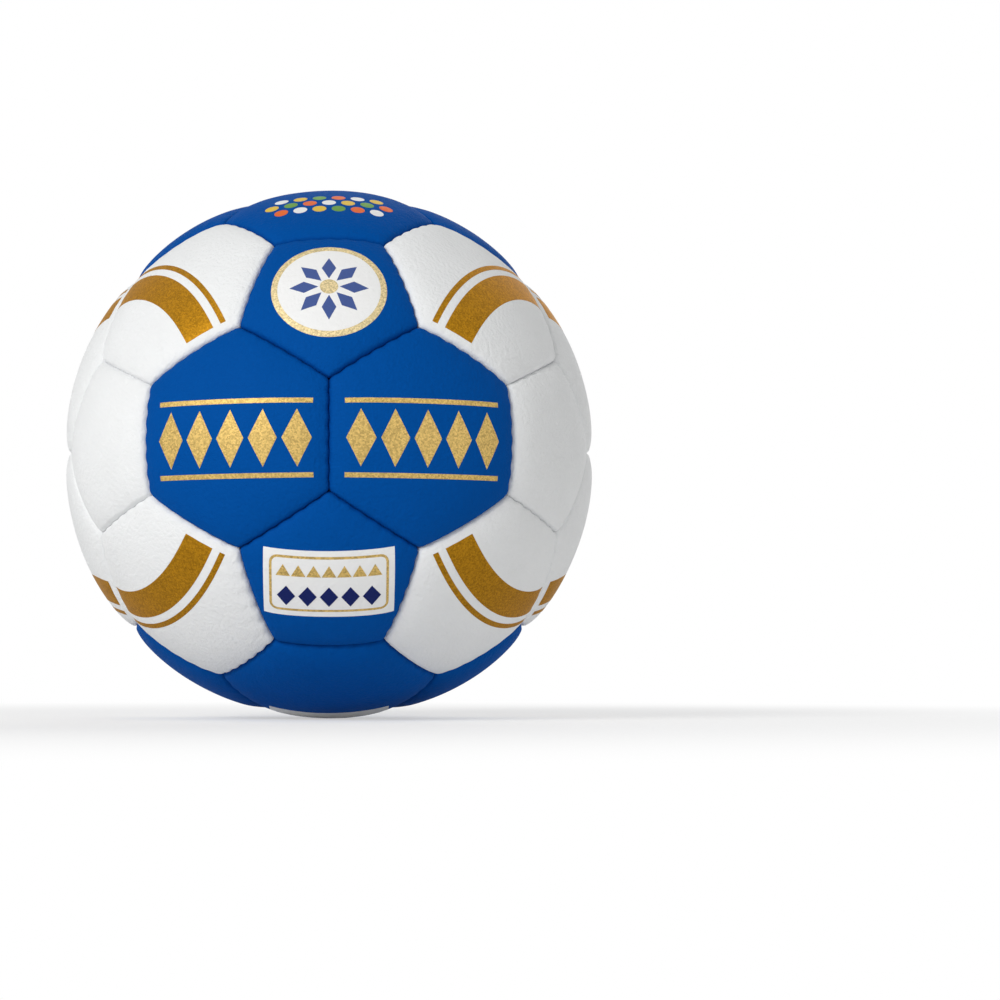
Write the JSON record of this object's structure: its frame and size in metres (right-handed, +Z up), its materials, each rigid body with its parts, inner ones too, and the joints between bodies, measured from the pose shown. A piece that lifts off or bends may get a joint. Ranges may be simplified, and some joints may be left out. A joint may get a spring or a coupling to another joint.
{
  "type": "handball",
  "caption": "Small hand-sewn handball of blue and white padded hexagon and pentagon panels with gold print, over an air bladder with a needle valve.",
  "frame": {"origin": "middle of the ball", "axes": "-Y out of the front, where two blue hexagons share an upright seam; +X to the right seen from the front; +Z up"},
  "size_m": [0.1486, 0.1486, 0.1486],
  "materials": {
    "blue_leather": "soft sheen",
    "white_leather": "soft sheen",
    "foam": "open-cell foam",
    "lining_cloth": "woven",
    "sewing_thread": "waxed",
    "bladder_rubber": "satin",
    "valve_rubber": "satin"
  },
  "bodies": {
    "root": {"back_left_hexagon": "blue_leather", "back_lower_pentagon": "blue_leather", "back_right_hexagon": "blue_leather", "back_upper_pentagon": "blue_leather", "bladder": "bladder_rubber", "bottom_back_hexagon": "blue_leather", "bottom_front_hexagon": "blue_leather", "bottom_left_pentagon": "blue_leather", "bottom_right_pentagon": "blue_leather", "front_left_hexagon": "blue_leather", "front_lower_pentagon": "blue_leather", "front_right_hexagon": "blue_leather", "front_upper_pentagon": "blue_leather", "hexagon_cloth_linings": "lining_cloth", "hexagon_foam_pads": "foam", "hexagon_seam_threads": "sewing_thread", "left_back_pentagon": "white_leather", "left_front_pentagon": "white_leather", "left_lower_hexagon": "white_leather", "left_upper_hexagon": "white_leather", "lower_back_left_hexagon": "white_leather", "lower_back_right_hexagon": "white_leather", "lower_front_left_hexagon": "white_leather", "lower_front_right_hexagon": "white_leather", "pentagon_cloth_linings": "lining_cloth", "pentagon_foam_pads": "foam", "pentagon_seam_threads": "sewing_thread", "right_back_pentagon": "white_leather", "right_front_pentagon": "white_leather", "right_lower_hexagon": "white_leather", "right_upper_hexagon": "white_leather", "top_back_hexagon": "blue_leather", "top_front_hexagon": "blue_leather", "top_left_pentagon": "blue_leather", "top_right_pentagon": "blue_leather", "upper_back_left_hexagon": "white_leather", "upper_back_right_hexagon": "white_leather", "upper_front_left_hexagon": "white_leather", "upper_front_right_hexagon": "white_leather", "valve_housing": "valve_rubber", "valve_insert": "valve_rubber"}
  },
  "joints": []
}
